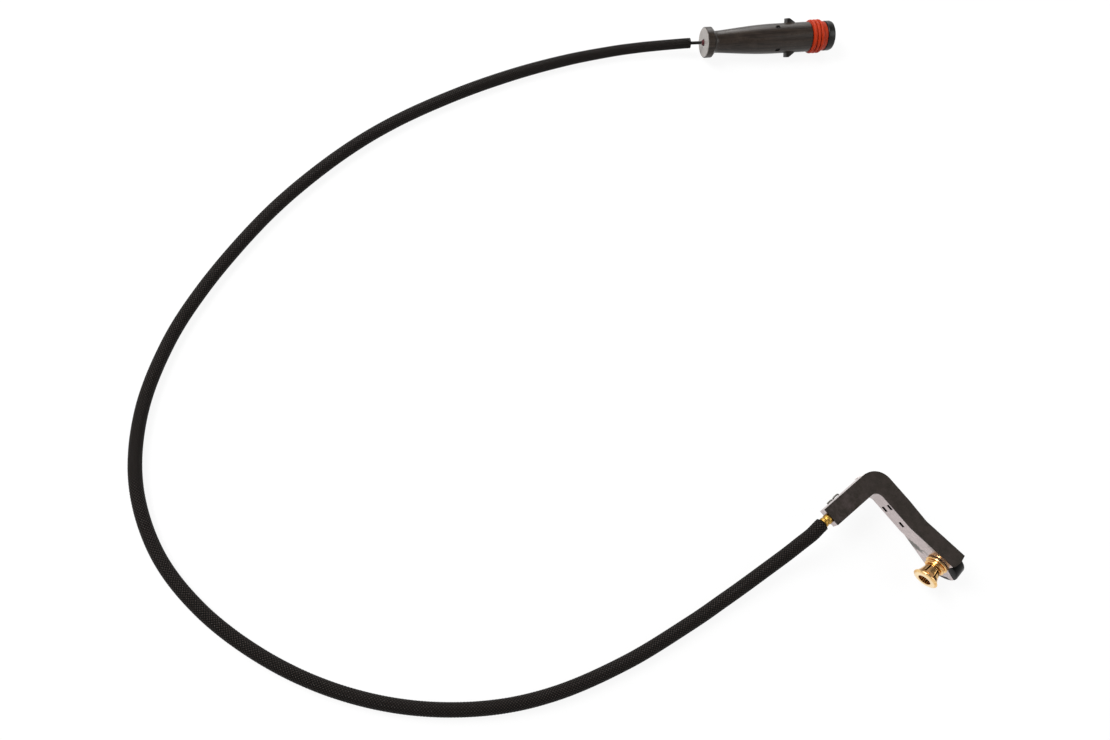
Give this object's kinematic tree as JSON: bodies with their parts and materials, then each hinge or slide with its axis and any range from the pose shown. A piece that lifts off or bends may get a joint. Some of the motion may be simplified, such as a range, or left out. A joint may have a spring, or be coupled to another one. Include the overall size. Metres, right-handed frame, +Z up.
{
  "type": "brake pad wear sensor",
  "caption": "Brake pad wear sensor: angled steel bracket with a flared brass bush, long braided lead and a round sealed plug.",
  "frame": {"origin": "on the surface the part lies on, below the middle of the bracket's box (bracket, head, bush, ferrule and clip wires, without the cord and its plug)", "axes": "+X along the bracket's long arm from the bend to the bush, +Z up from the surface, the bush points to -Y"},
  "size_m": [0.3573, 0.4579, 0.0199],
  "materials": {
    "carrier_steel": "bright sheet with a fine lengthwise grain",
    "black_moulding": "matt black-brown moulding",
    "head_plastic": "glossy black moulding",
    "bush_brass": "polished, gold coloured",
    "wire_steel": "drawn wire, dull",
    "sleeve_cloth": "woven black braid",
    "lead_rubber": "smooth black lead covering",
    "seal_rubber": "orange-red soft rubber",
    "connector_plastic": "satin black-brown moulding",
    "pin_metal": "tinned",
    "contact_metal": "bare copper-coloured end face"
  },
  "bodies": {
    "root": {"carrier_plate": "carrier_steel", "cable_guide": "black_moulding", "sensor_head": "head_plastic", "wear_contact": "contact_metal", "contact_bush": "bush_brass", "bush_ring": "bush_brass", "lead_ferrule": "bush_brass", "clip_wire_lower": "wire_steel", "clip_wire_upper": "wire_steel", "sleeve": "sleeve_cloth", "lead_upper": "lead_rubber", "lead_lower": "lead_rubber", "lead_grommet": "seal_rubber", "connector_shell": "connector_plastic", "seal_ring": "seal_rubber", "terminal_pin_a": "pin_metal", "terminal_pin_b": "pin_metal"}
  },
  "joints": []
}
